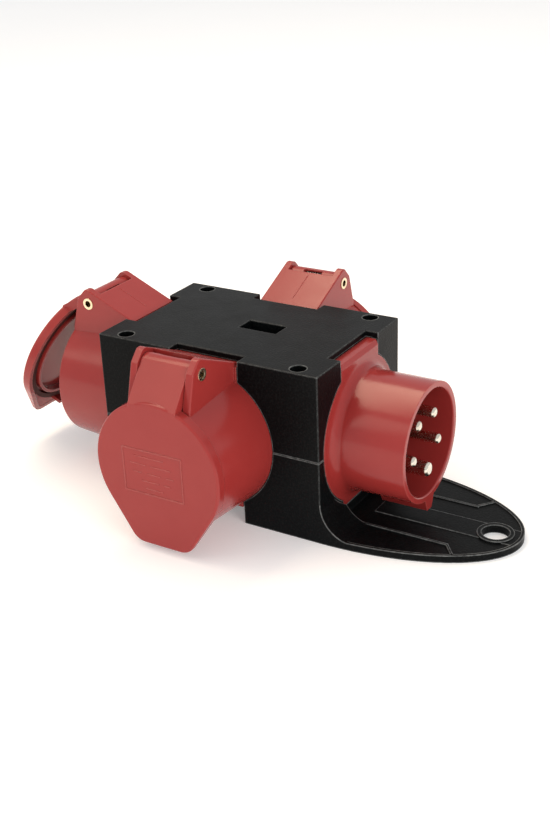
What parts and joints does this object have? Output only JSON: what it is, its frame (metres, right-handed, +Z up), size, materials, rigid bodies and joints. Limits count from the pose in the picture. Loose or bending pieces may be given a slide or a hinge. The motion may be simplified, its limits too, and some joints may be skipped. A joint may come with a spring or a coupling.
{
  "type": "portable power distribution box",
  "caption": "Small black box with a round pin inlet over a flat hanging tongue and round sockets under sprung hinged lids on its other sides.",
  "frame": {"origin": "on the standing plane, below the middle of the inlet's mounting face, where the tongue meets the box", "axes": "+X out of the box along the inlet and the tongue, -Y out of the front socket, +Z up"},
  "size_m": [0.2666, 0.1586, 0.091],
  "materials": {
    "black_shell": "satin, fine grain",
    "red_shell": "satin gloss",
    "red_lid": "satin gloss",
    "dark_insert": "satin",
    "black_rubber": "matt",
    "seal_rubber": "matt",
    "nickel_brass": "bright nickel",
    "brass": "bright",
    "zinc_steel": "zinc plated",
    "green_yellow_wire": "smooth",
    "brown_wire": "smooth",
    "black_wire": "smooth",
    "grey_wire": "smooth",
    "blue_wire": "smooth"
  },
  "bodies": {
    "root": {"top_cover": "black_shell", "base_shell": "black_shell", "cover_screws": "zinc_steel", "inlet_housing": "red_shell", "inlet_flange_gasket": "black_rubber", "inlet_insert": "dark_insert", "inlet_pins": "nickel_brass", "inlet_earth_pin": "nickel_brass", "inlet_terminal_screws": "zinc_steel", "front_socket_housing": "red_shell", "front_flange_gasket": "black_rubber", "front_insert": "dark_insert", "front_contact_sleeves": "brass", "front_earth_sleeve": "brass", "front_terminal_screws": "zinc_steel", "front_hinge_rivet": "brass", "front_lid_spring": "zinc_steel", "left_socket_housing": "red_shell", "left_flange_gasket": "black_rubber", "left_insert": "dark_insert", "left_contact_sleeves": "brass", "left_earth_sleeve": "brass", "left_terminal_screws": "zinc_steel", "left_hinge_rivet": "brass", "left_lid_spring": "zinc_steel", "back_socket_housing": "red_shell", "back_flange_gasket": "black_rubber", "back_insert": "dark_insert", "back_contact_sleeves": "brass", "back_earth_sleeve": "brass", "back_terminal_screws": "zinc_steel", "back_hinge_rivet": "brass", "back_lid_spring": "zinc_steel", "earth_wire": "green_yellow_wire", "phase_1_wire": "brown_wire", "phase_2_wire": "black_wire", "phase_3_wire": "grey_wire", "neutral_wire": "blue_wire"},
    "front_lid_body": {"front_lid": "red_lid", "front_lid_gasket": "seal_rubber"},
    "left_lid_body": {"left_lid": "red_lid", "left_lid_gasket": "seal_rubber"},
    "back_lid_body": {"back_lid": "red_lid", "back_lid_gasket": "seal_rubber"}
  },
  "joints": [
    {"name": "front_lid_hinge", "type": "hinge", "parent": "root", "child": "front_lid_body", "pos_m": [-0.058, -0.063, 0.08395], "axis": [-1, 0, 0], "range_deg": [0, 110], "stiffness_Nm_per_rad": 0.02, "springref_deg": -20.05},
    {"name": "left_lid_hinge", "type": "hinge", "parent": "root", "child": "left_lid_body", "pos_m": [-0.14, 0, 0.08395], "axis": [0, 1, 0], "range_deg": [-24, 86], "stiffness_Nm_per_rad": 0.02, "springref_deg": -44.12},
    {"name": "back_lid_hinge", "type": "hinge", "parent": "root", "child": "back_lid_body", "pos_m": [-0.058, 0.063, 0.08395], "axis": [1, 0, 0], "range_deg": [0, 110], "stiffness_Nm_per_rad": 0.02, "springref_deg": -20.05}
  ]
}
